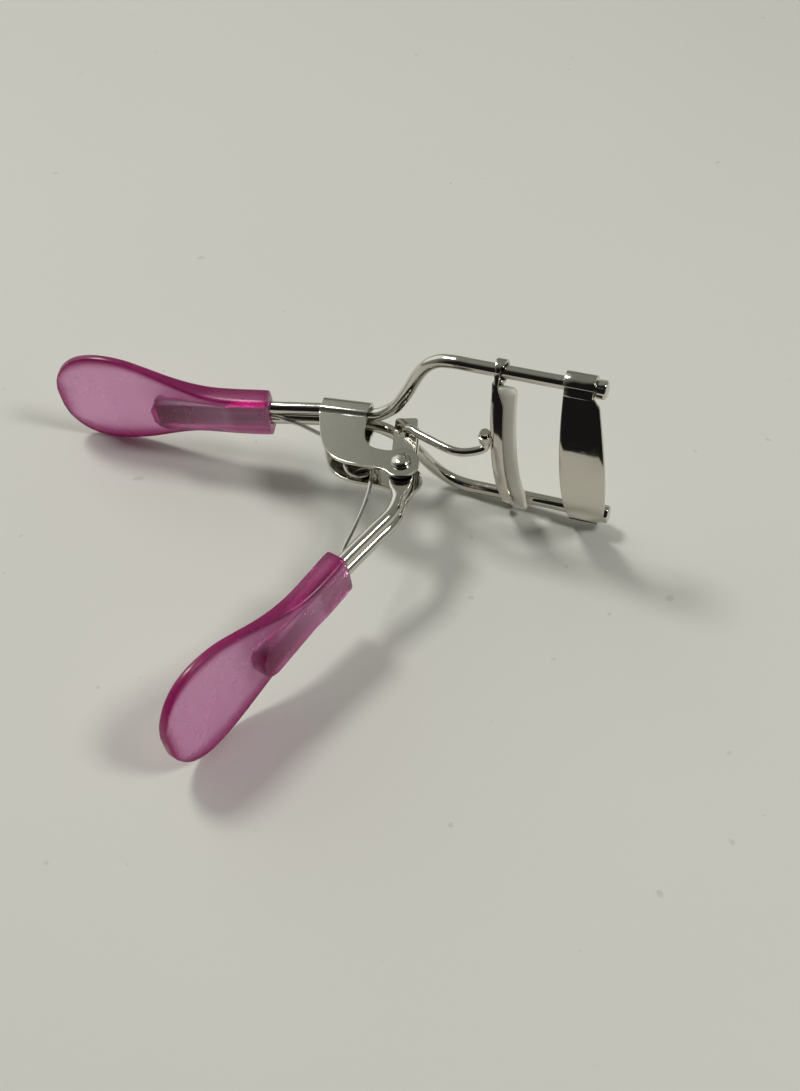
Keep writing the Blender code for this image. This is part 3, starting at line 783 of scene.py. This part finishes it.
# --------------------------------------------------------------- jaw pad
# A soft white silicone strip pushed into the channel. Its face is crowned by
# use, and its lower end has worked loose and stands out a little.
pad_finish = Finish(
    "white_silicone",
    {"Subsurface Weight": 0.25, "Subsurface Scale": 0.0015, "Specular IOR Level": 0.4},
)
dust = pad_finish.ramp(pad_finish.noise(1500.0, 3.0), 0.58, 0.78)
warm = pad_finish.noise(160.0, 3.0)
pad_tone = pad_finish.mix(warm, (0.92, 0.91, 0.82), (0.84, 0.83, 0.74))
pad_tone = pad_finish.mix(dust * 0.3, pad_tone, (0.66, 0.64, 0.56))
pad_finish.join(pad_tone, pad_finish.shader.inputs["Base Color"])
pad_finish.join(0.42 + warm * 0.22, pad_finish.shader.inputs["Roughness"])
pad_finish.bump(pad_finish.noise(900.0, 3.0), 0.00003)

PAD_STEPS = 64
PAD_FROM = -28.4
PAD_SPAN = 53.8
PAD_X = 16.93
PAD_RADIUS = 34.8
PAD_HALF_X = 1.87
PAD_HALF_R = 1.04
pad = stock(PAD_STEPS, 32)


def pad_section(ring, angle):
    """Rounded bar section round the arc; the lower end lies out over the rod."""
    share = ring / PAD_STEPS
    degrees = PAD_FROM + PAD_SPAN * share
    end = min(1.0, max(0.0, min(share, 1.0 - share) / 0.025)) ** 0.5
    loose = min(1.0, max(0.0, (-21.0 - degrees) / 4.5))
    loose = loose * loose * (3.0 - 2.0 * loose)
    half_x = (PAD_HALF_X - 0.5 * loose) * (0.72 + 0.28 * end)
    half_r = (PAD_HALF_R - 0.3 * loose) * (0.6 + 0.4 * end)
    a, b = rounded(angle, half_x, half_r, 0.42)
    front = 0.5 + 0.5 * a / PAD_HALF_X
    x = PAD_X + a + 0.88 * loose
    return on_arc(x, PAD_RADIUS + b * (1.0 - 0.12 * front) + 1.5 * loose, degrees)


shaped(pad, pad_section)
settled(pad, "soft_pad", pad_finish.material, 60.0)
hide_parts("jaw_pad")
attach(pad, "jaw")

# ------------------------------------------------------------ fixed plate
# A broader curved strip whose ends are rolled into barrels, pressed onto the
# ends of the guide rods. Its outer edge bows out in the middle.
PLATE_LEFT_X = 27.2
PLATE_RIGHT_X = 35.4
PLATE_END = 27.2
PLATE_REACH = 28.2
PLATE_STEPS = 72
PLATE_SHEET = 0.78
BARREL_X = (26.9, 32.4)
plate_sheet = plating("nickel_plated_plate", (0.655, 0.62, 0.55), 0.055, 1.4, 0.25)


def plate_section(i, j):
    """The strip's edge bows out in the middle and is nipped in at its ends."""
    degrees = -PLATE_END + 2.0 * PLATE_END * j / PLATE_STEPS
    share = abs(degrees) / PLATE_REACH
    right = PLATE_RIGHT_X - 2.1 * share ** 2 - 0.9 * max(0.0, (share - 0.90) / 0.07)
    return on_arc(PLATE_LEFT_X + (right - PLATE_LEFT_X) * i / 10, ARC_R - 0.4, degrees)


plate = pressed(11, PLATE_STEPS + 1, plate_section)
thickened(plate, PLATE_SHEET, 0.13)
settled(plate, "curved_plate", plate_sheet, 40.0)
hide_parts("upper_plate")
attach(plate, "frame")
for side, name in ((1, "upper"), (-1, "lower")):
    rolled = [151 - 5.5 * k for k in range(57)]

    def barrel_section(i, j, side=side):
        a = math.radians(rolled[j])
        x = BARREL_X[0] + 0.05 + (BARREL_X[1] - BARREL_X[0] - 0.1) * i / 3
        return Vector((x, GUIDE_Y + ROLL_R * math.cos(a), side * (GUIDE_Z + ROLL_R * math.sin(a))))

    barrel = pressed(4, len(rolled), barrel_section)
    thickened(barrel, PLATE_SHEET, 0.14)

    def neck_section(i, j, side=side):
        degrees = (26.6, 27.5, 28.4, 29.4)[j]
        x = BARREL_X[0] + 0.3 + (BARREL_X[1] - BARREL_X[0] - 0.4) * i / 3
        spot = on_arc(x, ARC_R - 0.4, degrees)
        return Vector((spot.x, spot.y, side * spot.z))

    neck = pressed(4, 4, neck_section)
    thickened(neck, 0.74, 0.12)
    alone(barrel)
    neck.select_set(True)
    bpy.ops.object.join()
    settled(barrel, "plate_barrel_" + name, nickel_sheet, 40.0)
    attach(barrel, "frame")

# --------------------------------------------------------------- ferrules
# Little caps crimped over the rod ends to keep the plate on. The crimping tool
# leaves six shallow flats.
FERRULE_LEFT_X = 32.6
FERRULE_FIT = 0.02
ferrule_rings = (0.0, 0.18, 0.42, 1.2, 1.42, 1.6, 1.7)
ferrule_radii = (1.52, 1.68, 1.70, 1.70, 1.66, 1.52, 1.32)
for side, name in ((1, "upper"), (-1, "lower")):
    ferrule = stock(len(ferrule_rings) - 1, 48)

    def ferrule_section(ring, angle, side=side):
        flat = abs(math.cos(3.0 * angle)) ** 6
        radius = ferrule_radii[ring] - 0.10 * flat * (1.0 if 1 < ring < 5 else 0.4)
        return Vector((
            FERRULE_LEFT_X + ferrule_rings[ring],
            GUIDE_Y + radius * math.cos(angle),
            side * (GUIDE_Z + radius * math.sin(angle)),
        ))

    shaped(ferrule, ferrule_section)
    bore = bar(
        (GUIDE_Y, side * GUIDE_Z), WIRE_R + FERRULE_FIT, 30.0, GUIDE_END_X + 0.05, axis="X"
    )
    worked(ferrule, bore, "DIFFERENCE")
    settled(ferrule, "crimped_ferrule_" + name, nickel_wire, 32.0)
    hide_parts("ferrule_" + name)
    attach(ferrule, "frame")

# ------------------------------------------------------------------ grips
# Paddles moulded in clear pink plastic, pushed over the wire hairpins. The
# wire shows in its pocket. Thick edges and the socket get deeper pink than the
# dish as painted shade, from a value stored on the mesh.
grip_stations = (
    (0.0, 4.2, 2.1, -2.1), (0.5, 4.5, 2.35, -2.4), (6.0, 4.55, 2.3, -2.45),
    (11.0, 4.8, 1.8, -2.5), (15.0, 5.6, 1.0, -2.6), (19.0, 7.0, 0.2, -2.75),
    (23.0, 8.7, -0.5, -3.05), (27.0, 10.2, -1.05, -3.45), (31.0, 11.0, -1.35, -3.75),
    (34.5, 11.0, -1.5, -3.9), (37.5, 10.1, -1.55, -3.95), (40.0, 8.2, -1.6, -3.9),
    (41.8, 5.4, -1.75, -3.8), (42.6, 2.8, -2.1, -3.5),
)
pink = Finish("clear_pink_plastic", {"Transmission Weight": 0.72, "IOR": 1.47})
# the mesh value "depth" is painted shade: deeper pink towards the rims and the socket, in place of
# light lost in thick plastic
stored = pink.node("ShaderNodeAttribute", {"attribute_name": "depth"})
painted_shade_share = Amount(pink, stored.outputs["Fac"])
cloud = pink.noise(70.0, 3.0)
pink.join(
    pink.mix(painted_shade_share + cloud * 0.12 - 0.06, (1.0, 0.60, 0.90), (0.46, 0.02, 0.22)),
    pink.shader.inputs["Base Color"],
)
handled = pink.ramp(pink.noise(130.0, 4.0), 0.40, 0.72)
scuffed = pink.ramp(pink.noise(1400.0, 2.0, (0.08, 1.0, 1.0)), 0.70, 0.88)
pink.join(0.24 + handled * 0.10 + scuffed * 0.06, pink.shader.inputs["Roughness"])
pink.bump(pink.noise(200.0, 2.0) - scuffed * 0.02, 0.00003)
dye = pink.node(
    "ShaderNodeVolumeAbsorption", None, {"Color": (0.95, 0.10, 0.62, 1.0), "Density": 110.0}
)
pink.tree.links.new(dye.outputs[0], pink.tree.nodes["Material Output"].inputs["Volume"])


def eased(values, steps):
    """Rows of numbers joined by a smooth curve."""
    path = []
    rows = [values[0]] + list(values) + [values[-1]]
    for a, b, c, d in zip(rows, rows[1:], rows[2:], rows[3:]):
        for k in range(steps):
            t = k / steps
            path.append(tuple(
                0.5 * (2 * q + (r - p) * t + (2 * p - 5 * q + 4 * r - s) * t * t
                       + (3 * q - p - 3 * r + s) * t ** 3)
                for p, q, r, s in zip(a, b, c, d)
            ))
    path.append(values[-1])
    return path


grip_rows = eased(grip_stations, 5)
grip_rows = [(0.0, 3.95, 1.85, -1.85), (0.1, 4.25, 2.12, -2.14)] + grip_rows[4:]
last = grip_rows[-1]
grip_rows += [(last[0] + 0.12, 1.9, -2.45, -3.2)]
painted_shade_per_vertex = []


def grip_section(ring, angle):
    """The paddle's section; also notes how much painted shade the plastic gets there."""
    x, half, front, back = grip_rows[ring]
    middle = 0.5 * (front + back)
    spread = min(1.0, max(0.0, (x - 14.0) / 12.0))
    c = math.cos(angle)
    s = math.sin(angle)
    z = half * math.copysign(abs(s) ** 0.34, s)
    corner = 0.42 if c > 0 else 0.62
    y = middle + 0.5 * (front - back) * math.copysign(abs(c) ** corner, c)
    if c > 0:
        inside = min(1.0, max(0.0, (1.0 - abs(z) / half) / 0.30))
        near_tip = min(1.0, max(0.0, (last[0] - x) / 4.0))
        y -= 0.62 * spread * near_tip * inside * inside * (3.0 - 2.0 * inside)
    rim = min(1.0, max(0.0, (abs(z) / half - 0.62) / 0.30, (x - last[0] + 3.0) / 2.6))
    # painted shade, rising towards the rim and near the socket
    painted_shade_per_vertex.append(max(rim * rim, 0.45 * (1.0 - spread)))
    return Vector((x, y, z))


def store_painted_shade(piece, values):
    """Store on each vertex its share of painted shade, the deeper pink of thick plastic."""
    layer = piece.data.attributes.new("depth", "FLOAT", "POINT")
    for item, value in zip(layer.data, values):
        item.value = value
    return piece


def grip_piece(name, socket_at, heading, node, body):
    """One paddle with its raised socket box and the pocket for the wire."""
    painted_shade_per_vertex.clear()
    grip = store_painted_shade(shaped(stock(len(grip_rows) - 1, 56), grip_section), painted_shade_per_vertex)
    box_outline = [
        (0.5, -3.5), (20.6, -3.5), (21.9, -2.9), (22.9, -1.5),
        (22.9, 1.5), (21.9, 2.9), (20.6, 3.5), (0.5, 3.5),
    ]
    box = blank(box_outline, -1.9, 2.15, 0.3)
    box.data.transform(Matrix(((1, 0, 0, 0), (0, 0, 1, 0), (0, 1, 0, 0), (0, 0, 0, 1))))
    alone(box)
    bpy.ops.object.mode_set(mode="EDIT")
    bpy.ops.mesh.select_all(action="SELECT")
    bpy.ops.mesh.normals_make_consistent(inside=False)
    bpy.ops.object.mode_set(mode="OBJECT")
    # the socket box gets an even share of painted shade
    store_painted_shade(box, [0.35] * len(box.data.vertices))
    worked(grip, box, "UNION")
    slot = arc_points((0.0, 1.29), 1.46, 0, 180, 17) + arc_points((0.0, -1.29), 1.46, 180, 360, 17)
    worked(grip, blank(slot, -2.0, WIRE_IN_GRIP + 0.25, 0.0, across_x=True), "DIFFERENCE")
    turn = Matrix.Rotation(math.atan2(heading.y, heading.x), 4, "Z")
    grip.data.transform(Matrix.Translation(socket_at) @ turn)
    settled(grip, name, pink.material, 38.0)
    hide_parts(node)
    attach(grip, body)


grip_piece("frame_paddle", sleeve_left + HANDLE * GRIP_START, HANDLE, "fixed_grip", "frame")
grip_piece("lever_paddle", LEVER_GRIP_AT, LEVER_DIR, "moving_grip", "lever")

# ----------------------------------------------------------------- spring
# Hard drawn wire wound one and a quarter turns between the cheeks. Its long
# arms run into the grips beside the hairpins and hold the handles apart.
SPRING_R = 0.38
COIL_AT = (-8.3, 0.0)
COIL_R = 2.8
COIL_STEPS = 60
spring_finish = plating("drawn_spring_wire", (0.60, 0.58, 0.54), 0.13)
inner_side = Vector((-HANDLE.y, HANDLE.x, 0.0))
fixed_socket = sleeve_left + HANDLE * GRIP_START
lever_side = Vector((LEVER_DIR.y, -LEVER_DIR.x, 0.0))
spring_path = flowing([
    fixed_socket + HANDLE * 3.0 + inner_side * 1.03, fixed_socket - HANDLE + inner_side * 1.05,
    (-25.6, 6.25, -0.05), (-22.6, 5.95, -0.2), (-19.4, 5.2, -0.4), (-15.0, 4.1, -0.45),
    (-11.2, 3.2, -0.45),
], 6)
for k in range(COIL_STEPS + 1):
    a = math.radians(90.0 - 450.0 * k / COIL_STEPS)
    spring_path.append(Vector((
        COIL_AT[0] + COIL_R * math.cos(a), COIL_AT[1] + COIL_R * math.sin(a),
        -0.45 + 0.9 * k / COIL_STEPS,
    )))
spring_path += flowing([
    (-5.35, -1.4, 0.45), (-4.8, -3.6, 0.4), (-4.25, -6.6, 0.25), (-4.0, -10.2, 0.1),
    (-4.02, -14.5, 0.0), (-4.1, -18.5, 0.0), LEVER_GRIP_AT - LEVER_DIR * 0.6 + lever_side * 1.06,
    LEVER_GRIP_AT + LEVER_DIR * 3.0 + lever_side * 1.03,
], 6)
wound_spring = bent_wire(spring_path, SPRING_R, 3)
settled(wound_spring, "wound_spring", spring_finish)
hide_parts("spring")
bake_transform(wound_spring)
